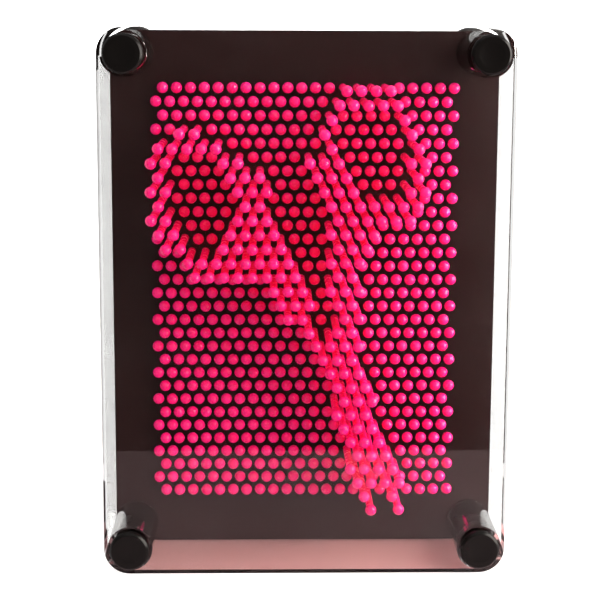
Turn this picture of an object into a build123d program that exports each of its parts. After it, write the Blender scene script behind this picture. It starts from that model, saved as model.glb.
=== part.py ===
from build123d import *
import os
from math import cos, hypot, radians, sin, sqrt

# Pin art impression toy. Millimetres, +Z up, the front faces -Y. The origin is in the middle of the
# bottom edge that the toy stands on, halfway through its depth.

# Outline
WIDTH = 150.0
HEIGHT = 203.0
WALL = 1.2  # cover window and side walls
PLATE_CLEARANCE = 0.1  # the plates and the spacer inside the cover's walls

# Depths, counted back from the front plate's front face
CAVITY = 30.0  # from the plate to the inside of the window
PLATE = 2.0  # each pin plate
SPACER = 4.0  # gap between the two plates
LEG_SPARE = 1.5  # legs longer than the tails of pins that are fully back

# Pin grid: each row is half a pitch across from the row above
ROWS = 31
COLUMNS = 22
SIDE_BORDER = 18.56  # outermost pin axis to the side edge
END_BORDER = 22.75  # outermost row to the top or bottom edge
SHAFT_D = 2.9
HEAD_D = 4.35
HOLE_CLEARANCE = 0.2  # shaft to hole, on the radius
END_GAP = 0.3  # left at both ends of a pin's travel
TAIL_STUB = 2.0  # tail left behind the rear plate with the pin fully forward
TAIL_CHAMFER = 0.4

# Corner fittings
POST_R = 6.5
POST_GAP = 1.8  # post to the cover's inner corner
BOSS_CLEARANCE = 0.2  # post in the cover's clear boss
BOSS_WALL = 1.7
CAP_R = 7.3
CAP_THICKNESS = 3.0
CAP_CHAMFER = 0.9
DISH_R = 5.0
DISH_DEPTH = 0.5
SPIGOT_R = 3.0
SPIGOT_LENGTH = 9.0
SPIGOT_CLEARANCE = 0.2  # in the window's hole
FOOT_FLOOR = 1.5  # rubber behind the leg's end
FOOT_LENGTH = 9.0
FOOT_ROUND = 1.0

# Tie screws, driven from behind through a leg and both plates into a post
SCREW_R = 1.5
SCREW_CLEARANCE = 0.3
SCREW_HEAD_R = 2.9
SCREW_HEAD = 2.2
SCREW_BITE = 12.0  # length held in the post
SLOT_WIDTH = 0.8
SLOT_DEPTH = 1.0
WASHER_R = 3.3
WASHER = 0.6
COUNTERBORE_CLEARANCE = 0.5  # round the washer
LEG_FLOOR = 6.0  # leg wall under the screw head

# Spacer frame
FRAME_GAP = 1.8  # shaft of an outermost pin to the frame

# Worked out from the sizes above
COLUMN_PITCH = (WIDTH - 2 * SIDE_BORDER) / (COLUMNS - 0.5)
ROW_PITCH = (HEIGHT - 2 * END_BORDER) / (ROWS - 1)
HOLE_R = SHAFT_D / 2 + HOLE_CLEARANCE
HEAD_R = HEAD_D / 2
HEAD_STANDOFF = sqrt((HEAD_R + END_GAP) ** 2 - HOLE_R**2)  # plate to head centre, fully back
TRAVEL = CAVITY - HEAD_STANDOFF - HEAD_R - END_GAP
STACK = 2 * PLATE + SPACER
LEG_LENGTH = TAIL_STUB + TRAVEL + LEG_SPARE
PIN_LENGTH = HEAD_STANDOFF + STACK + TAIL_STUB + TRAVEL  # head centre to tail
FRONT_REACH = CAVITY + WALL + CAP_THICKNESS
BACK_REACH = STACK + LEG_LENGTH + FOOT_FLOOR
FACE_Y = (FRONT_REACH - BACK_REACH) / 2  # the front plate's front face
REAR_Y = FACE_Y + STACK
LEG_END_Y = REAR_Y + LEG_LENGTH
WINDOW_Y = FACE_Y - CAVITY  # the inside of the window
HEAD_BACK_Y = FACE_Y - HEAD_STANDOFF  # head centre, fully back
HEAD_FORWARD_Y = HEAD_BACK_Y - TRAVEL  # head centre, fully forward
POST_INSET = POST_R + POST_GAP + WALL  # post centre in from each edge, and the corners' radius
POST_X = WIDTH / 2 - POST_INSET
POST_Z = HEIGHT / 2 - POST_INSET
CORNERS = {"top_left": (-1, 1), "top_right": (1, 1), "bottom_left": (-1, -1), "bottom_right": (1, -1)}

# Impression of a pair of scissors, points down. Places are (x, z) from the middle of the grid.
RIGHT_LOOP = dict(centre=(24.5, 54.5), radii=(19.5, 28.5), turn=16.5)
RIGHT_TANG = dict(centre=(13.5, 48.0), radii=(13.0, 13.0), turn=0)
RIGHT_HOLE = dict(centre=(24.0, 56.0), radii=(12.0, 17.5), turn=16.5)
LEFT_LOOP = dict(centre=(-38.5, 36.5), radii=(28.0, 19.5), turn=-73)
LEFT_ROOT = dict(centre=(-28.0, 20.5), radii=(11.5, 11.5), turn=0)
LEFT_HOLE = dict(centre=(-39.0, 37.5), radii=(19.0, 11.0), turn=-73)
LEFT_SHANK = dict(start=(-30, 45), end=(5, -13), start_width=26.5, end_width=10.4)
RIGHT_SHANK = dict(start=(25, 70.5), end=(12, -1.5), start_width=31, end_width=11)
FORK = dict(centre=(5, -8), radii=(4, 4), turn=0)  # open place between the shanks at the pivot
BLADE_HEEL = dict(start=(5, -13), end=(21, -39.5), start_width=10.4, end_width=3)
RIGHT_BLADE = dict(start=(14.5, -27), end=(38.5, -86), start_width=14, end_width=6.5)
LEFT_BLADE = dict(start=(11, -5), end=(27, -97), start_width=17.5, end_width=4)
RELIEF = {  # how far short of fully forward each part leaves its pins
    "right_loop_pins": 0.0,
    "left_loop_pins": 0.0,
    "left_shank_pins": 0.5,
    "right_shank_pins": 1.0,
    "right_blade_pins": 2.0,
    "left_blade_pins": 2.0,
}


def front_plane(y):
    """The upright plane at depth y, seen from the front. Extruding from it comes forward."""
    return Plane.XZ.offset(-y)


def sheet(shape, back_y, front_y):
    """A flat piece with the given XZ shape between two depths."""
    return extrude(front_plane(back_y) * shape, amount=back_y - front_y)


def rod(x, z, radius, back_y, front_y):
    """A round bar along Y."""
    return sheet(Pos(x, z) * Circle(radius), back_y, front_y)


def outline(inset=0.0):
    """The toy's rounded outline, or one parallel to it inside."""
    corner = POST_INSET - inset
    return Pos(0, HEIGHT / 2) * RectangleRounded(WIDTH - 2 * inset, HEIGHT - 2 * inset, corner)


def corner_places():
    """Name, x and z of each corner post."""
    for name, (side, end) in CORNERS.items():
        yield name, side * POST_X, HEIGHT / 2 + end * POST_Z


def pin_places():
    """Row number from the top, x and z of each pin, both from the middle of the grid."""
    for row in range(ROWS):
        stagger = COLUMN_PITCH / 4 * (1 if row % 2 == 0 else -1)
        for column in range(COLUMNS):
            x = (column - (COLUMNS - 1) / 2) * COLUMN_PITCH + stagger
            yield row + 1, x, ((ROWS - 1) / 2 - row) * ROW_PITCH


def board_sheet(cuts, back_y, front_y):
    """A layer of the board, which fits inside the cover's walls."""
    return sheet(outline(WALL + PLATE_CLEARANCE) - cuts, back_y, front_y)


def drilled_plate(back_y, front_y):
    """A pin plate: one hole for each pin and one for each tie screw."""
    holes = [Pos(x, HEIGHT / 2 + z) * Circle(HOLE_R) for _, x, z in pin_places()]
    holes += [Pos(x, z) * Circle(SCREW_R + SCREW_CLEARANCE) for _, x, z in corner_places()]
    return board_sheet(holes, back_y, front_y)


def spacer_frame():
    """Open frame that keeps the two plates apart round the pins."""
    half_width = (COLUMNS - 0.5) / 2 * COLUMN_PITCH + SHAFT_D / 2 + FRAME_GAP
    half_height = (ROWS - 1) / 2 * ROW_PITCH + SHAFT_D / 2 + FRAME_GAP
    cuts = [Pos(0, HEIGHT / 2) * Rectangle(2 * half_width, 2 * half_height)]
    cuts += [Pos(x, z) * Circle(SCREW_R + SCREW_CLEARANCE) for _, x, z in corner_places()]
    return board_sheet(cuts, REAR_Y - PLATE, FACE_Y + PLATE)


def window_cover():
    """Clear cover: a window, walls that reach back over the board's edges, and a boss round each post."""
    box = sheet(outline(), REAR_Y, WINDOW_Y - WALL)
    box -= sheet(outline(WALL), REAR_Y, WINDOW_Y)
    for _, x, z in corner_places():
        bore_r = POST_R + BOSS_CLEARANCE
        box += rod(x, z, bore_r + BOSS_WALL, FACE_Y, WINDOW_Y)
        box -= rod(x, z, bore_r, FACE_Y, WINDOW_Y)
        box -= rod(x, z, SPIGOT_R + SPIGOT_CLEARANCE, WINDOW_Y, WINDOW_Y - WALL)
    return box


def corner_post(x, z):
    """Post from the window to the front plate, bored for the cap's spigot and the tie screw."""
    post = rod(x, z, POST_R, FACE_Y, WINDOW_Y)
    post -= rod(x, z, SPIGOT_R, WINDOW_Y + SPIGOT_LENGTH, WINDOW_Y)
    return post - rod(x, z, SCREW_R, FACE_Y, FACE_Y - SCREW_BITE)


def front_cap(x, z):
    """Dished disc with a spigot that passes through the window into the post."""
    face_y = WINDOW_Y - WALL - CAP_THICKNESS
    cap = rod(x, z, CAP_R, WINDOW_Y - WALL, face_y)
    cap = chamfer(cap.edges().sort_by(Axis.Y)[0], CAP_CHAMFER)
    ball_r = (DISH_R**2 + DISH_DEPTH**2) / (2 * DISH_DEPTH)
    cap -= Pos(x, face_y + DISH_DEPTH - ball_r, z) * Sphere(ball_r)
    return cap + rod(x, z, SPIGOT_R, WINDOW_Y + SPIGOT_LENGTH, WINDOW_Y - WALL)


def rear_leg(x, z):
    """Leg behind the rear plate, counterbored for the tie screw's head."""
    leg = rod(x, z, POST_R, LEG_END_Y, REAR_Y)
    leg -= rod(x, z, WASHER_R + COUNTERBORE_CLEARANCE, LEG_END_Y, REAR_Y + LEG_FLOOR)
    return leg - rod(x, z, SCREW_R + SCREW_CLEARANCE, REAR_Y + LEG_FLOOR, REAR_Y)


def rubber_foot(x, z):
    """Cup on the end of a leg, as far out as the outline so that the toy also stands on it."""
    end_y = LEG_END_Y + FOOT_FLOOR
    foot = rod(x, z, POST_INSET, end_y, end_y - FOOT_LENGTH)
    foot = fillet(foot.edges().filter_by(GeomType.CIRCLE), FOOT_ROUND)
    return foot - rod(x, z, POST_R, LEG_END_Y, end_y - FOOT_LENGTH)


def tie_screw(x, z):
    """Slotted pan-head screw through a leg and both plates into a post."""
    head_y = REAR_Y + LEG_FLOOR + WASHER
    screw = rod(x, z, SCREW_HEAD_R, head_y + SCREW_HEAD, head_y)
    slot = Box(2 * SCREW_HEAD_R, SLOT_DEPTH, SLOT_WIDTH)
    screw -= Pos(x, head_y + SCREW_HEAD - SLOT_DEPTH / 2, z) * slot
    return screw + rod(x, z, SCREW_R, head_y, FACE_Y - SCREW_BITE)


def screw_washer(x, z):
    """Washer between the screw's head and the leg's floor."""
    seat_y = REAR_Y + LEG_FLOOR
    washer = rod(x, z, WASHER_R, seat_y + WASHER, seat_y)
    return washer - rod(x, z, SCREW_R + SCREW_CLEARANCE, seat_y + WASHER, seat_y)


def pin():
    """One pin with its head centre at the origin and its tail towards +Y."""
    shaft = rod(0, 0, SHAFT_D / 2, PIN_LENGTH, 0)
    shaft = chamfer(shaft.edges().sort_by(Axis.Y)[-1], TAIL_CHAMFER)
    return Sphere(HEAD_R) + shaft


def in_oval(x, z, centre, radii, turn):
    """Whether a place is inside an oval turned anticlockwise by some degrees."""
    across, up = x - centre[0], z - centre[1]
    along = across * cos(radians(turn)) + up * sin(radians(turn))
    beside = up * cos(radians(turn)) - across * sin(radians(turn))
    return hypot(along / radii[0], beside / radii[1]) <= 1


def in_taper(x, z, start, end, start_width, end_width):
    """Whether a place is on a straight tapered bar between two points."""
    run_x, run_z = end[0] - start[0], end[1] - start[1]
    length = hypot(run_x, run_z)
    along = ((x - start[0]) * run_x + (z - start[1]) * run_z) / length**2
    beside = abs((x - start[0]) * run_z - (z - start[1]) * run_x) / length
    return 0 <= along <= 1 and beside <= (start_width + (end_width - start_width) * along) / 2


def scissors_part(x, z):
    """The node of the part of the scissors that presses on a pin, or None beside them."""
    if any(in_oval(x, z, **place) for place in (RIGHT_HOLE, LEFT_HOLE, FORK)):
        return None
    shapes = [
        ("right_loop_pins", in_oval, RIGHT_LOOP),
        ("right_loop_pins", in_oval, RIGHT_TANG),
        ("left_loop_pins", in_oval, LEFT_LOOP),
        ("left_loop_pins", in_oval, LEFT_ROOT),
        ("left_shank_pins", in_taper, LEFT_SHANK),
        ("right_shank_pins", in_taper, RIGHT_SHANK),
        ("right_blade_pins", in_taper, BLADE_HEEL),
        ("right_blade_pins", in_taper, RIGHT_BLADE),
        ("left_blade_pins", in_taper, LEFT_BLADE),
    ]
    return next((node for node, inside, shape in shapes if inside(x, z, **shape)), None)


def pin_nodes():
    """Solids of each pin node: a node for each part of the scissors and one for the rest of each row."""
    model = pin()
    nodes = {}
    for row, x, z in pin_places():
        pressed = scissors_part(x, z)
        name = pressed or f"pin_row_{row:02d}"
        y = HEAD_FORWARD_Y + RELIEF[pressed] if pressed else HEAD_BACK_Y
        nodes.setdefault(name, []).append(Pos(x, y, HEIGHT / 2 + z) * model)
    return nodes


def board_nodes():
    """Solids of each fixed node."""
    nodes = {
        "window_cover": [window_cover()],
        "front_pin_plate": [drilled_plate(FACE_Y + PLATE, FACE_Y)],
        "plate_spacer_frame": [spacer_frame()],
        "rear_pin_plate": [drilled_plate(REAR_Y, REAR_Y - PLATE)],
    }
    for name, x, z in corner_places():
        nodes[f"front_cap_{name}"] = [front_cap(x, z)]
        nodes[f"corner_post_{name}"] = [corner_post(x, z)]
        nodes[f"rear_leg_{name}"] = [rear_leg(x, z)]
        nodes.setdefault("rubber_feet", []).append(rubber_foot(x, z))
        nodes.setdefault("tie_screws", []).append(tie_screw(x, z))
        nodes.setdefault("screw_washers", []).append(screw_washer(x, z))
    return nodes


os.makedirs("parts", exist_ok=True)
for name, solids in (board_nodes() | pin_nodes()).items():
    export_step(Compound(children=solids) if len(solids) > 1 else solids[0], f"parts/{name}.step")
print(f"travel {TRAVEL:.3f}, pitch {COLUMN_PITCH:.3f} by {ROW_PITCH:.3f}, pin length {PIN_LENGTH:.3f}")
print(f"depth {FRONT_REACH + BACK_REACH:.3f}, front plate's face at {FACE_Y:.3f}")
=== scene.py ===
# %% [markdown]
# # A pin art impression toy
# The toy is a board of 682 loose plastic pins between two drilled plates. A clear cover, held off
# the board by four posts, keeps them in. An object pressed in from behind leaves its shape in the pins.
#
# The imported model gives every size, place and moving body. This script adds the looks around it:
# finishes for the moulded parts, softer edges, and pins whose heads catch the light.

# %% Load the frame
from math import cos, radians, sin, sqrt
from random import Random

import bpy
import numpy as np
from mathutils import Matrix, Vector


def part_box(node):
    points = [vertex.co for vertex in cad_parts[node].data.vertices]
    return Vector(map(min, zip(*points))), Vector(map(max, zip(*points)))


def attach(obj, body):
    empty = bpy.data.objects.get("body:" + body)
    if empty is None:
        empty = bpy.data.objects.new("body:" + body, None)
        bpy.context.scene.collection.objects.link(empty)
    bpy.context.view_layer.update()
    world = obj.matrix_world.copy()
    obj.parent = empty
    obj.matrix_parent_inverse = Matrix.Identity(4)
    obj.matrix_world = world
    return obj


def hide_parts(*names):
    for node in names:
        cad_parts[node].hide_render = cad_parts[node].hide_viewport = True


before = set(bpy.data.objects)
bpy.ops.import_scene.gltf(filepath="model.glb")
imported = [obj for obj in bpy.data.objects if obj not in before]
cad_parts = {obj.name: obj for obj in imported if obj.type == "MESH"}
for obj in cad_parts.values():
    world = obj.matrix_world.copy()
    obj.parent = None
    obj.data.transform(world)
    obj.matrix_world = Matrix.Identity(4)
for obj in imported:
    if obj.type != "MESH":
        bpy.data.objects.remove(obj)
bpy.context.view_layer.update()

MM = 0.001
scene = bpy.context.scene

# %% [markdown]
# ## Small helpers
# Operators act on everything that is selected, and the frame arrives selected, so each step starts
# by picking its own piece. Vertices, edges and faces are found by their place or direction, where a
# hand would click on them. Modifiers are applied at once, so every later step sees the final mesh.

# %% Selecting and editing
SHARP_ANGLE = radians(50)  # faces that meet more steeply than this make a corner


def pick(*pieces):
    """Select only these objects. The first one is active."""
    bpy.ops.object.select_all(action="DESELECT")
    for piece in pieces:
        piece.select_set(True)
    if pieces:
        bpy.context.view_layer.objects.active = pieces[0]


def bake_place(piece):
    """Put the object's place, turn and size into its mesh."""
    pick(piece)
    bpy.ops.object.transform_apply(location=True, rotation=True, scale=True)


def apply_modifier(piece, kind, **settings):
    """Add a modifier, set it and apply it."""
    pick(piece)
    modifier = piece.modifiers.new(kind.title(), kind)
    for name, value in settings.items():
        setattr(modifier, name, value)
    bpy.ops.object.modifier_apply(modifier=modifier.name)


def round_edges(piece, width, angle=SHARP_ANGLE):
    """Round every edge that is sharper than an angle."""
    apply_modifier(piece, "BEVEL", width=width, segments=2, limit_method="ANGLE", angle_limit=angle)


def select_parts(piece, mode, wanted):
    """Enter edit mode with only the vertices, edges or faces selected that pass a test."""
    pick(piece)
    bpy.ops.object.mode_set(mode="EDIT")
    bpy.ops.mesh.select_mode(type=mode)
    bpy.ops.mesh.select_all(action="DESELECT")
    bpy.ops.object.mode_set(mode="OBJECT")
    mesh = piece.data
    parts = {"VERT": mesh.vertices, "EDGE": mesh.edges, "FACE": mesh.polygons}[mode]
    for part in parts:
        part.select = bool(wanted(part))
    bpy.ops.object.mode_set(mode="EDIT")


def even_shading(piece):
    """Smooth the round faces, and let big flat faces keep their own direction up to their edges."""
    pick(piece)
    bpy.ops.object.shade_smooth_by_angle(angle=SHARP_ANGLE)
    apply_modifier(piece, "WEIGHTED_NORMAL", mode="FACE_AREA", weight=100, keep_sharp=True)


pick()
print("still selected", len(bpy.context.selected_objects))

# %% [markdown]
# Colours are written as the hex values a designer would note down, and shaders work in linear
# light, so one function turns the first into the second. A material is a small tree of nodes. One
# function adds a node with its settings and links, so each finish below reads as a list. Most of
# them let a noise pattern move the colour and the gloss a little, because no real surface is even.

# %% Colours and shader nodes
NOISE_RANGE = {"From Min": 0.3, "From Max": 0.7}  # nearly all of a noise's values lie between these


def linear(hex_colour):
    """A hex sRGB colour as linear red, green, blue and alpha."""
    channels = [int(hex_colour[i : i + 2], 16) / 255 for i in (1, 3, 5)]
    return *(c / 12.92 if c <= 0.04045 else ((c + 0.055) / 1.055) ** 2.4 for c in channels), 1.0


def add_node(tree, kind, settings=None, links=None):
    """Add a node. Settings are sockets by name or number, the node's own options, or the two hex
    colours that a ramp runs between. Links feed its inputs from other nodes' outputs."""
    node = tree.nodes.new(kind)
    for name, value in (settings or {}).items():
        if name == "colours":
            for stop, colour in zip(node.color_ramp.elements, value):
                stop.color = linear(colour)
        elif isinstance(name, int) or name in node.inputs:
            node.inputs[name].default_value = value
        else:
            setattr(node, name, value)
    for name, output in (links or {}).items():
        tree.links.new(output, node.inputs[name])
    return node


def new_material(name):
    """An empty material, with its node tree and its output node."""
    material = bpy.data.materials.new(name)
    material.use_nodes = True
    tree = material.node_tree
    tree.nodes.clear()
    return material, tree, add_node(tree, "ShaderNodeOutputMaterial")


def grains(millimetres):
    """Noise scale whose blotches are about this far apart."""
    return 1 / (millimetres * MM)


print("middle grey in linear light", round(linear("#808080")[0], 3))

# %% [markdown]
# ## Camera
# The camera stands a little left of centre and looks slightly down, half a metre away, as someone
# at a desk would. The lens is a fairly long one, so the box shows its side walls in perspective but
# keeps its upright edges nearly parallel. Shifting the lens moves the view down over the toy, where
# tilting the camera further would make those edges lean.

# %% Place the camera
CAMERA_PLACE = Vector((-12.9, -524.2, 203.9)) * MM
YAW, PITCH, ROLL = radians(-1.23), radians(8.44), radians(0.25)

camera_data = bpy.data.cameras.new("desk_camera")
camera_data.lens = 82.3
camera_data.sensor_width = 36
camera_data.shift_y = -0.12
camera = bpy.data.objects.new("desk_camera", camera_data)
scene.collection.objects.link(camera)
aim = Matrix.Rotation(YAW, 4, "Z") @ Matrix.Rotation(radians(90) - PITCH, 4, "X")
camera.matrix_world = Matrix.Translation(CAMERA_PLACE) @ aim @ Matrix.Rotation(ROLL, 4, "Z")
scene.camera = camera
print("camera at", [round(c / MM, 1) for c in CAMERA_PLACE], "mm")

# %% [markdown]
# ## Studio
# The toy stands on a plain pale floor. A clear box is all reflections, so what stands round it matters
# more than what lights it. A studio lays out cards for that: the camera doesn't see them, only the
# acrylic does. One card lies in front, where a desk would be, so the window mirrors a pale band along
# its lower edge and stays dark above it. One lies under the toy and shows through its clear bottom wall.
# Its
# pinkish colour is painted shade: the desk in the toy's shadow, lit pink by the pins. A black one behind
# the board stops daylight from showing through the pins' holes.

# %% Paper and cards
def paper(name, dark, light, glow=0.0):
    """Matt paper with a faint cloudiness. Glow is for paper that is lit from below."""
    material, tree, output = new_material(name)
    place = add_node(tree, "ShaderNodeTexCoord").outputs["Object"]
    cloud = add_node(tree, "ShaderNodeTexNoise", {"Scale": grains(40), "Detail": 2}, {"Vector": place})
    colour = add_node(
        tree, "ShaderNodeValToRGB", {"colours": (dark, light)}, {"Fac": cloud.outputs["Fac"]}
    )
    shader = add_node(
        tree,
        "ShaderNodeBsdfPrincipled",
        {"Roughness": 0.9, "Emission Strength": glow},
        {"Base Color": colour.outputs["Color"]},
    )
    tree.links.new(shader.outputs["BSDF"], output.inputs["Surface"])
    return material


def card(name, size, place, material, turn=0.0):
    """A flat sheet of paper, turned about X."""
    bpy.ops.mesh.primitive_plane_add(size=1, location=place, rotation=(radians(turn), 0, 0))
    sheet = bpy.context.object
    sheet.name = name
    sheet.scale = (size[0], size[1], 1)
    bake_place(sheet)
    sheet.data.materials.append(material)
    return sheet


def only_seen_in(sheet, *kinds):
    """Show a sheet to some kinds of ray alone: camera, diffuse, glossy or transmission."""
    for kind in ("camera", "diffuse", "glossy", "transmission"):
        setattr(sheet, f"visible_{kind}", kind in kinds)
    sheet.visible_shadow = False
    print(sheet.name, "is seen in", kinds)


# %% Floor and cards
FLOOR_Z = -0.3 * MM  # a hair under the toy, and the cards lie between the two
CARD_Z = -0.1 * MM

white_paper = paper("matt white paper", "#f4f3f2", "#f8f8f7", glow=0.5)
floor = card("studio_floor", size=(12, 12), place=(0, 0, FLOOR_Z), material=white_paper)
only_seen_in(floor, "camera")

desk_card = paper("warm grey card", "#bfa8ae", "#cab4b9")
front_card = card("front_card", size=(0.5, 0.15), place=(0, -0.108, CARD_Z), material=desk_card)
only_seen_in(front_card, "glossy", "diffuse")

# painted shade: the desk under the toy, in its shadow and lit pink by the pins
painted_pink_shade_paper = paper("salmon card", "#e0aaac", "#e8b3b5")
painted_shade_under_card = card("painted_shade_under_card", size=(0.148, 0.07), place=(0, 0.002, CARD_Z), material=painted_pink_shade_paper)
only_seen_in(painted_shade_under_card, "transmission", "glossy")

black_card = paper("black card", "#0a0a0a", "#101010")
back_card = card("back_card", size=(0.13, 0.18), place=(0, 0.08, 0.1), material=black_card, turn=90)
only_seen_in(back_card, "transmission", "glossy")

# %% [markdown]
# The key light is a window close to the right of the toy and a little in front of it. It grazes the
# pins, so each head shines on its right side and shades its neighbour, and the board darkens towards
# the left. A weak wide light above fills the rest.

# %% Lights
def soft_light(name, place, width, height, watts, colour):
    """A rectangular area light aimed at the middle of the toy."""
    data = bpy.data.lights.new(name, "AREA")
    data.shape = "RECTANGLE"
    data.size, data.size_y = width, height
    data.energy = watts
    data.color = linear(colour)[:3]
    light = bpy.data.objects.new(name, data)
    light.location = place
    towards_toy = TOY_MIDDLE - Vector(place)
    light.rotation_euler = towards_toy.to_track_quat("-Z", "Y").to_euler()
    scene.collection.objects.link(light)
    print(name, watts, "W")


TOY_MIDDLE = Vector((0, 0, 0.1))
soft_light("window_light", (0.48, -0.17, 0.26), width=0.5, height=0.5, watts=10.0, colour="#fff6ee")
soft_light("ceiling_light", (-0.1, -0.5, 1.3), width=1.2, height=1.0, watts=3.2, colour="#ffffff")

# %% [markdown]
# The surroundings are bright for light that comes straight to the eye or through the clear walls, so
# the cover looks clear from every side. Light that has bounced off something sees them dim in front of
# the toy, where the window would mirror them over the black board, and a little brighter behind it.

# %% Surroundings
BRIGHT, DIM = 3.2, 0.045

world = bpy.data.worlds.new("studio_surroundings")
scene.world = world
world.use_nodes = True
tree = world.node_tree
tree.nodes.clear()
direction = add_node(tree, "ShaderNodeTexCoord").outputs["Generated"]
depth = add_node(tree, "ShaderNodeSeparateXYZ", links={"Vector": direction}).outputs["Y"]
behind = add_node(
    tree,
    "ShaderNodeMapRange",
    {"From Min": -0.05, "From Max": 0.15, "To Min": 0.0, "To Max": 0.3},
    {"Value": depth},
)
path = add_node(tree, "ShaderNodeLightPath")
bounces = add_node(
    tree,
    "ShaderNodeMath",
    {"operation": "ADD"},
    {0: path.outputs["Glossy Depth"], 1: path.outputs["Diffuse Depth"]},
)
straight = add_node(
    tree, "ShaderNodeMath", {"operation": "LESS_THAN", 1: 0.5}, {0: bounces.outputs[0]}
)
shown = add_node(
    tree,
    "ShaderNodeMath",
    {"operation": "MAXIMUM"},
    {0: behind.outputs["Result"], 1: straight.outputs[0]},
)
bright = add_node(tree, "ShaderNodeBackground", {"Color": linear("#ffffff"), "Strength": BRIGHT})
dim = add_node(tree, "ShaderNodeBackground", {"Color": linear("#d8b8b0"), "Strength": DIM})
mix = add_node(
    tree,
    "ShaderNodeMixShader",
    links={0: shown.outputs[0], 1: dim.outputs[0], 2: bright.outputs[0]},
)
add_node(tree, "ShaderNodeOutputWorld", links={"Surface": mix.outputs[0]})
scene.view_settings.view_transform = "Standard"
print("world", world.name, "view", scene.view_settings.view_transform)

# %% [markdown]
# ## Clear moulded cover
# The cover is clear acrylic, about as clear as glass with a lower index. Handling leaves faint
# smears that only show where the surface shines, so noise drives the roughness by a little. Shadow
# rays pass straight through, because a real clear box hardly darkens what is inside it.

# %% Acrylic
acrylic, tree, output = new_material("clear moulded acrylic")
place = add_node(tree, "ShaderNodeTexCoord").outputs["Object"]
smears = add_node(
    tree,
    "ShaderNodeTexNoise",
    {"Scale": grains(22), "Detail": 5, "Distortion": 1.2},
    {"Vector": place},
)
gloss = add_node(
    tree,
    "ShaderNodeMapRange",
    {**NOISE_RANGE, "To Min": 0.0, "To Max": 0.05},
    {"Value": smears.outputs["Fac"]},
)
shader = add_node(
    tree,
    "ShaderNodeBsdfPrincipled",
    {"Base Color": linear("#fbfbfa"), "IOR": 1.49, "Transmission Weight": 1.0},
    {"Roughness": gloss.outputs["Result"]},
)
clear = add_node(tree, "ShaderNodeBsdfTransparent", {"Color": linear("#f6f5f4")})
path = add_node(tree, "ShaderNodeLightPath")
mix = add_node(
    tree,
    "ShaderNodeMixShader",
    links={0: path.outputs["Is Shadow Ray"], 1: shader.outputs[0], 2: clear.outputs[0]},
)
tree.links.new(mix.outputs[0], output.inputs["Surface"])
print("material", acrylic.name)

# %% [markdown]
# The box is modelled as a moulder would draw it: a block with its four long edges rounded about the
# posts, opened at the back, and given a wall on the inside. It could also be four walls joined to a
# window, but one shelled block keeps the same thickness everywhere.

# %% Shell of the cover
WALL = 1.2 * MM
CORNERS = ("top_left", "top_right", "bottom_left", "bottom_right")


def middle(node):
    """The middle of a CAD node's box."""
    low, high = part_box(node)
    return (low + high) / 2


def runs_deep(edge):
    """Whether an edge runs from the front of the block to its back."""
    ends = [cover.data.vertices[i].co for i in edge.vertices]
    return abs(ends[0].y - ends[1].y) > (high.y - low.y) / 2


low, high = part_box("window_cover")
corner_radius = middle("corner_post_bottom_left").x - low.x
bpy.ops.mesh.primitive_cube_add(size=1, location=(low + high) / 2)
cover = bpy.context.object
cover.name = "clear_cover"
cover.dimensions = high - low
bake_place(cover)
select_parts(cover, "EDGE", runs_deep)
bpy.ops.mesh.bevel(offset=corner_radius, segments=12, profile=0.5, affect="EDGES")
bpy.ops.object.mode_set(mode="OBJECT")
select_parts(cover, "FACE", lambda face: face.normal.y > 0.9)
bpy.ops.mesh.delete(type="FACE")
bpy.ops.object.mode_set(mode="OBJECT")
apply_modifier(cover, "SOLIDIFY", thickness=WALL, offset=-1, use_even_offset=True)
print("shell", [round(size / MM, 1) for size in cover.dimensions], "mm")

# %% [markdown]
# The holes for the caps are cut through the window with the boolean modifier. A ring of faces could be
# dissolved into a hole by hand, but a boolean keeps the hole round and exactly where its cap is. Then
# every edge gets a tiny round, as a mould leaves it. It is hardly seen as a shape, but it catches light.

# %% Holes for the caps
SPIGOT_HOLE_R = 3.2 * MM
EDGE_ROUND = 0.3 * MM
window_y = low.y + WALL


def cylinder(x, z, radius, front_y, back_y, vertices, ends="NGON"):
    """A cylinder along Y between two depths."""
    bpy.ops.mesh.primitive_cylinder_add(
        vertices=vertices,
        radius=radius,
        depth=back_y - front_y,
        end_fill_type=ends,
        location=(x, (front_y + back_y) / 2, z),
        rotation=(radians(90), 0, 0),
    )
    piece = bpy.context.object
    bake_place(piece)
    return piece


def combine(piece, other, operation):
    """Boolean a helper piece into another and remove it."""
    apply_modifier(piece, "BOOLEAN", object=other, operation=operation, solver="EXACT")
    bpy.data.objects.remove(other)


for corner in CORNERS:
    place = middle(f"front_cap_{corner}")
    drill = cylinder(place.x, place.z, SPIGOT_HOLE_R, low.y - WALL, window_y + WALL, vertices=40)
    combine(cover, drill, "DIFFERENCE")
round_edges(cover, EDGE_ROUND)
print("drilled window faces", len(cover.data.polygons))

# %% [markdown]
# In each corner a clear boss stands on the inside of the window, round the post. It is an open
# cylinder given a wall, with its end rounded, and then fused to the shell.

# %% Bosses round the posts
BOSS_R = 8.4 * MM
BOSS_WALL = 1.7 * MM
BITE = 0.6 * MM  # how far a boss reaches into the window before it is fused
plate_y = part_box("front_pin_plate")[0].y

for corner in CORNERS:
    place = middle(f"front_cap_{corner}")
    boss = cylinder(
        place.x, place.z, BOSS_R, window_y - BITE, plate_y, vertices=48, ends="NOTHING"
    )
    apply_modifier(boss, "SOLIDIFY", thickness=BOSS_WALL, offset=-1, use_even_offset=True)
    round_edges(boss, EDGE_ROUND)
    combine(cover, boss, "UNION")
even_shading(cover)
cover.data.materials.append(acrylic)
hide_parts("window_cover")
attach(cover, "board")
print("cover faces", len(cover.data.polygons))
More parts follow.
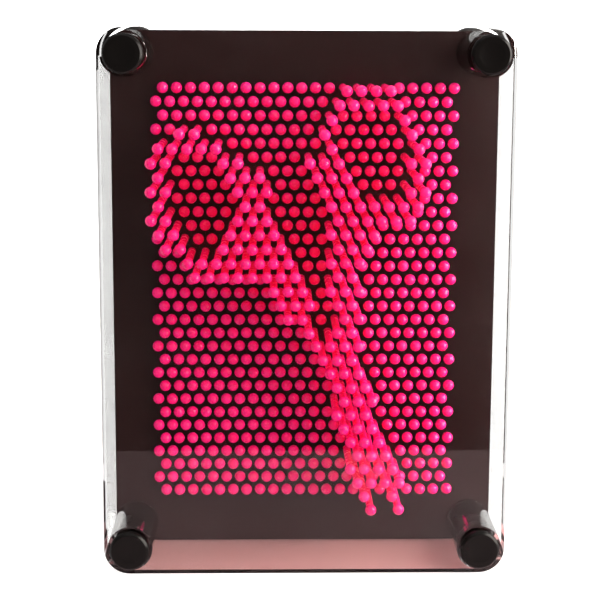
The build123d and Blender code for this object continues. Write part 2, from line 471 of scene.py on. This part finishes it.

# %% [markdown]
# ## Pins
# The pins are moulded in a translucent neon pink styrene. Light goes a fraction of a millimetre into it
# and comes out redder, which subsurface scattering gives. The shafts of pressed pins look lit from
# inside, and that is painted in: a weak red emission gives them a painted glow, stronger on the shafts
# than on the heads, in place of light carried through the plastic. Each pin gets a tone of its own too,
# because no two come out of the mould quite alike. The flow marks in its skin are real at about 3 mm,
# and only show as a slight wobble in the shine.

# %% Pink styrene
# painted glow: emission that stands in for light carried through the plastic, weak on heads, strong on
# shafts
PAINTED_HEAD_GLOW, PAINTED_SHAFT_GLOW = 0.05, 0.34

pink, tree, output = new_material("translucent pink styrene")
tone = add_node(tree, "ShaderNodeAttribute", {"attribute_name": "pin_tone"})
colour = add_node(
    tree, "ShaderNodeValToRGB", {"colours": ("#ee0f6e", "#f41c7e")}, {"Fac": tone.outputs["Fac"]}
)
on_shaft = add_node(tree, "ShaderNodeAttribute", {"attribute_name": "shaft_glow"})
glow = add_node(
    tree,
    "ShaderNodeMapRange",
    {"To Min": PAINTED_HEAD_GLOW, "To Max": PAINTED_SHAFT_GLOW},
    {"Value": on_shaft.outputs["Fac"]},
)
place = add_node(tree, "ShaderNodeTexCoord").outputs["Object"]
flow = add_node(tree, "ShaderNodeTexNoise", {"Scale": grains(3), "Detail": 3}, {"Vector": place})
gloss = add_node(
    tree,
    "ShaderNodeMapRange",
    {**NOISE_RANGE, "To Min": 0.2, "To Max": 0.3},
    {"Value": flow.outputs["Fac"]},
)
skin = add_node(
    tree,
    "ShaderNodeBump",
    {"Strength": 0.15, "Distance": 0.02 * MM},
    {"Height": flow.outputs["Fac"]},
)
shader = add_node(
    tree,
    "ShaderNodeBsdfPrincipled",
    {
        "IOR": 1.55,
        "Subsurface Weight": 0.2,
        "Subsurface Radius": (1.0, 0.12, 0.3),
        "Subsurface Scale": 0.7 * MM,
        "Emission Color": linear("#ff0a46"),
    },
    {
        "Base Color": colour.outputs["Color"],
        "Roughness": gloss.outputs["Result"],
        "Emission Strength": glow.outputs["Result"],
        "Normal": skin.outputs["Normal"],
    },
)
tree.links.new(shader.outputs["BSDF"], output.inputs["Surface"])
print("material", pink.name)

# %% [markdown]
# A pin is a ball on a thinner shaft with a chamfered tail. One ball is made with its pole towards the
# front. Its back point is dissolved into a flat face, which is sized to the shaft and drawn out to the
# tail. The shape repeats hundreds of times, so it has few faces and leaves the roundness to shading.
# An attribute marks the shaft, and the material reads its painted glow from it.

# %% Model one pin
SHAFT_D = 2.9 * MM
TAIL_CHAMFER = 0.4 * MM
NEAR = MM / 100  # points closer than this count as being at the same place
row_low, row_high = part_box("pin_row_01")
head_d = row_high.z - row_low.z
head_r = head_d / 2
shaft_r = SHAFT_D / 2
neck_y = sqrt(head_r**2 - shaft_r**2)
pin_length = row_high.y - row_low.y - head_r
straight_length = pin_length - TAIL_CHAMFER - neck_y

bpy.ops.mesh.primitive_uv_sphere_add(
    segments=12, ring_count=6, radius=head_r, rotation=(radians(90), 0, 0)
)
pin = bpy.context.object
pin.name = "ball_pin"
bake_place(pin)
select_parts(pin, "VERT", lambda v: v.co.y > head_r - NEAR)
bpy.ops.mesh.dissolve_verts()
bpy.ops.object.mode_set(mode="OBJECT")
back = max(pin.data.polygons, key=lambda face: face.center.y)
back_y, back_r = back.center.y, pin.data.vertices[back.vertices[0]].co.xz.length
select_parts(pin, "FACE", lambda face: face.center.y > back_y - NEAR)
to_shaft = shaft_r / back_r
bpy.ops.transform.resize(value=(to_shaft, 1, to_shaft), center_override=(0, back_y, 0))
bpy.ops.transform.translate(value=(0, neck_y - back_y, 0))
bpy.ops.mesh.extrude_region_move(TRANSFORM_OT_translate={"value": (0, straight_length, 0)})
bpy.ops.mesh.extrude_region_move(TRANSFORM_OT_translate={"value": (0, TAIL_CHAMFER, 0)})
to_tip = 1 - TAIL_CHAMFER / shaft_r
bpy.ops.transform.resize(value=(to_tip, 1, to_tip), center_override=(0, pin_length, 0))
bpy.ops.object.mode_set(mode="OBJECT")
bpy.ops.object.shade_smooth_by_angle(angle=SHARP_ANGLE)
# the shaft's vertices get the strong painted glow
painted_glow_marks = pin.data.attributes.new("shaft_glow", "FLOAT", "POINT")
painted_glow_marks.data.foreach_set("value", [float(v.co.y > neck_y - NEAR) for v in pin.data.vertices])
print("head", round(head_d / MM, 2), "mm, length", round(pin_length / MM, 2), "mm")
print("faces of one pin", len(pin.data.polygons))

# %% [markdown]
# The frame holds each row's and each pressed part's pins as one mesh. The grid's pitch follows from the
# top row's box, and every vertex belongs to the pin whose place on the grid is nearest. The front of
# each pin is its lowest depth.

# %% Find the pins' places
COLUMNS = 22
pitch = (row_high.x - row_low.x - head_d) / (COLUMNS - 1)
row_pitch = row_low.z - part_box("pin_row_02")[0].z
top_z = row_low.z + head_r
left_x = row_low.x + head_r


def pin_places(node):
    """X, z and front depth of each pin in a node."""
    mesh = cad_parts[node].data
    points = np.empty(len(mesh.vertices) * 3)
    mesh.vertices.foreach_get("co", points)
    points = points.reshape(-1, 3)
    rows = np.rint((top_z - points[:, 2]) / row_pitch)
    starts = np.where(rows % 2 == 0, left_x, left_x - pitch / 2)
    columns = np.rint((points[:, 0] - starts) / pitch)
    keys = (rows * COLUMNS + columns).astype(int)
    for key in np.unique(keys):
        row, column = divmod(int(key), COLUMNS)
        start = left_x - (row % 2) * pitch / 2
        yield start + column * pitch, top_z - row * row_pitch, points[keys == key, 1].min()


print("pins stand", round(pitch / MM, 3), "mm apart in rows", round(row_pitch / MM, 3), "mm apart")

# %% [markdown]
# Every copy leans and sits a hair off centre, as loose pins do, and less than its hole allows, so that
# it still slides clear. The chances come from one seeded source, so the toy is the same in each run.
# The copies of a node are joined to one piece, which rides on that node's own sliding body.

# %% Copy the pins to their places
SIDE_PLAY = 0.08 * MM
DEPTH_PLAY = 0.22 * MM
LEAN = radians(0.15)
hole_y = middle("plate_spacer_frame").y


def place_pin(x, z, front_y, chance):
    """A copy of the pin in its hole, with its own slight lean and tone."""
    piece = pin.copy()
    piece.data = pin.data.copy()
    scene.collection.objects.link(piece)
    angle = radians(chance.uniform(0, 360))
    push = SIDE_PLAY * chance.random()
    slide = chance.uniform(-DEPTH_PLAY, DEPTH_PLAY)
    head = Vector((x + push * cos(angle), front_y + head_r + slide, z + push * sin(angle)))
    axis = Vector((chance.uniform(-1, 1), 0, chance.uniform(-1, 1)))
    hole = Matrix.Translation((x, hole_y, z))
    lean = hole @ Matrix.Rotation(LEAN * axis.length, 4, axis) @ hole.inverted()
    piece.data.transform(lean @ Matrix.Translation(head))
    tone = piece.data.attributes.new("pin_tone", "FLOAT", "POINT")
    tone.data.foreach_set("value", [chance.random()] * len(piece.data.vertices))
    return piece


chance = Random(31)
total = 0
for node in sorted(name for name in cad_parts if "pin" in name and "plate" not in name):
    pins = [place_pin(x, z, y, chance) for x, z, y in pin_places(node)]
    total += len(pins)
    pick(*pins)
    bpy.ops.object.join()
    row = bpy.context.object
    row.name = node.replace("_pins", "_ball_pins").replace("pin_row", "ball_pins_row")
    row.data.materials.append(pink)
    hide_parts(node)
    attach(row, node)
bpy.data.objects.remove(pin)
print("pins", total)

# %% [markdown]
# ## Black mouldings
# Plates, spacer, posts, caps and legs are black ABS. The flat board comes from a mould with a fine
# spark-eroded texture, so it is satin. Its black is tinted warm in the colour itself, a painted cast of
# the pink light between the pins. That grain is about 0.1 mm, too fine to show here, so it is drawn at
# 0.8 mm. The round fittings come from a polished mould and shine, with only a slow ripple of 2.5 mm.
# The plates and the spacer keep their CAD meshes, because the heads cover the edges of their holes, and
# only get the finish.

# %% ABS finishes
def moulded_abs(name, colours, roughness, texture_mm, texture_strength, shine):
    """Black ABS with a faint cloudiness, uneven gloss and a fine mould texture."""
    material, tree, output = new_material(name)
    place = add_node(tree, "ShaderNodeTexCoord").outputs["Object"]
    cloud = add_node(tree, "ShaderNodeTexNoise", {"Scale": grains(35), "Detail": 4}, {"Vector": place})
    texture = add_node(
        tree, "ShaderNodeTexNoise", {"Scale": grains(texture_mm), "Detail": 2}, {"Vector": place}
    )
    colour = add_node(
        tree, "ShaderNodeValToRGB", {"colours": colours}, {"Fac": cloud.outputs["Fac"]}
    )
    gloss = add_node(
        tree,
        "ShaderNodeMapRange",
        {**NOISE_RANGE, "To Min": roughness[0], "To Max": roughness[1]},
        {"Value": cloud.outputs["Fac"]},
    )
    bump = add_node(
        tree,
        "ShaderNodeBump",
        {"Strength": texture_strength, "Distance": 0.03 * MM},
        {"Height": texture.outputs["Fac"]},
    )
    shader = add_node(
        tree,
        "ShaderNodeBsdfPrincipled",
        {"IOR": 1.54, "Specular IOR Level": shine},
        {
            "Base Color": colour.outputs["Color"],
            "Roughness": gloss.outputs["Result"],
            "Normal": bump.outputs["Normal"],
        },
    )
    tree.links.new(shader.outputs["BSDF"], output.inputs["Surface"])
    print("material", name)
    return material


# the reddish black is painted pink light from the pins, not the plastic's own colour
satin_abs_painted_pink = moulded_abs(
    "satin black ABS",
    colours=("#150707", "#1b0909"),
    roughness=(0.3, 0.4),
    texture_mm=0.8,
    texture_strength=0.5,
    shine=0.25,
)
gloss_abs = moulded_abs(
    "polished black ABS",
    colours=("#060505", "#0a0807"),
    roughness=(0.2, 0.3),
    texture_mm=2.5,
    texture_strength=0.2,
    shine=0.12,
)
for node in ("front_pin_plate", "rear_pin_plate", "plate_spacer_frame"):
    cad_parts[node].data.materials.clear()
    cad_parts[node].data.materials.append(satin_abs_painted_pink)

# %% [markdown]
# The caps, posts and legs already have the right shape in the CAD model, but as loose triangles with
# perfectly sharp edges. A copy is merged back into whole faces, and a bevel gives each edge the small
# round that a mould leaves. They could be modelled again from cylinders, but the CAD's dish and chamfer
# would only be repeated. Weighted normals then keep the flat faces flat up to the new rounds.

# %% Soften the fittings' edges
FITTING_ROUND = 0.2 * MM
FITTING_ANGLE = radians(35)
MERGE = MM / 1000  # triangles share a corner when theirs are this close
FLAT = radians(0.5)  # faces that differ by less are one flat face


def softened_copy(node, name, material):
    """A copy of a CAD node with its triangles merged and its sharp edges rounded a little."""
    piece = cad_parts[node].copy()
    piece.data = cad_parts[node].data.copy()
    piece.name = name
    piece.parent = None
    for key in list(piece.keys()):
        del piece[key]
    scene.collection.objects.link(piece)
    pick(piece)
    bpy.ops.object.mode_set(mode="EDIT")
    bpy.ops.mesh.select_all(action="SELECT")
    bpy.ops.mesh.remove_doubles(threshold=MERGE)
    bpy.ops.mesh.dissolve_limited(angle_limit=FLAT)
    bpy.ops.object.mode_set(mode="OBJECT")
    round_edges(piece, FITTING_ROUND, FITTING_ANGLE)
    even_shading(piece)
    piece.data.materials.clear()
    piece.data.materials.append(material)
    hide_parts(node)
    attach(piece, "board")
    print(name, "faces", len(piece.data.polygons))


FITTINGS = {"front_cap": "dished_cap", "corner_post": "round_post", "rear_leg": "tube_leg"}
for corner in CORNERS:
    for part, look in FITTINGS.items():
        softened_copy(f"{part}_{corner}", f"{look}_{corner}", gloss_abs)

# %% [markdown]
# ## Feet and screws
# The feet on the ends of the legs are moulded rubber. It is matt and grainy and holds dust, so its
# roughness is high, its bump is deep, and a second noise greys it in patches. The real grain is finer,
# a few tenths of a millimetre, and is drawn at 0.9 mm so that it shows.

# %% Rubber
rubber, tree, output = new_material("black moulded rubber")
place = add_node(tree, "ShaderNodeTexCoord").outputs["Object"]
grain = add_node(tree, "ShaderNodeTexNoise", {"Scale": grains(0.9), "Detail": 4}, {"Vector": place})
dust = add_node(tree, "ShaderNodeTexNoise", {"Scale": grains(6), "Detail": 6}, {"Vector": place})
colour = add_node(
    tree, "ShaderNodeValToRGB", {"colours": ("#141313", "#252322")}, {"Fac": dust.outputs["Fac"]}
)
gloss = add_node(
    tree,
    "ShaderNodeMapRange",
    {**NOISE_RANGE, "To Min": 0.65, "To Max": 0.85},
    {"Value": dust.outputs["Fac"]},
)
bump = add_node(
    tree,
    "ShaderNodeBump",
    {"Strength": 0.6, "Distance": 0.05 * MM},
    {"Height": grain.outputs["Fac"]},
)
shader = add_node(
    tree,
    "ShaderNodeBsdfPrincipled",
    {"IOR": 1.52},
    {
        "Base Color": colour.outputs["Color"],
        "Roughness": gloss.outputs["Result"],
        "Normal": bump.outputs["Normal"],
    },
)
tree.links.new(shader.outputs["BSDF"], output.inputs["Surface"])
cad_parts["rubber_feet"].data.materials.clear()
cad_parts["rubber_feet"].data.materials.append(rubber)
print("material", rubber.name)

# %% [markdown]
# The tie screws and their washers are zinc plated steel. The plating is bright but not polished, and
# its fine crystals turn the light a little each way, so one small noise moves the colour, the roughness
# and the bump together. The crystals themselves can't be seen, so they are drawn 0.7 mm apart.

# %% Zinc plating
zinc, tree, output = new_material("zinc plated steel")
place = add_node(tree, "ShaderNodeTexCoord").outputs["Object"]
spangle = add_node(tree, "ShaderNodeTexNoise", {"Scale": grains(0.7), "Detail": 3}, {"Vector": place})
colour = add_node(
    tree, "ShaderNodeValToRGB", {"colours": ("#a9adb2", "#c9ccd0")}, {"Fac": spangle.outputs["Fac"]}
)
gloss = add_node(
    tree,
    "ShaderNodeMapRange",
    {**NOISE_RANGE, "To Min": 0.24, "To Max": 0.4},
    {"Value": spangle.outputs["Fac"]},
)
bump = add_node(
    tree,
    "ShaderNodeBump",
    {"Strength": 0.3, "Distance": 0.01 * MM},
    {"Height": spangle.outputs["Fac"]},
)
shader = add_node(
    tree,
    "ShaderNodeBsdfPrincipled",
    {"Metallic": 1.0},
    {
        "Base Color": colour.outputs["Color"],
        "Roughness": gloss.outputs["Result"],
        "Normal": bump.outputs["Normal"],
    },
)
tree.links.new(shader.outputs["BSDF"], output.inputs["Surface"])
for node in ("tie_screws", "screw_washers"):
    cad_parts[node].data.materials.clear()
    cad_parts[node].data.materials.append(zinc)
print("material", zinc.name)
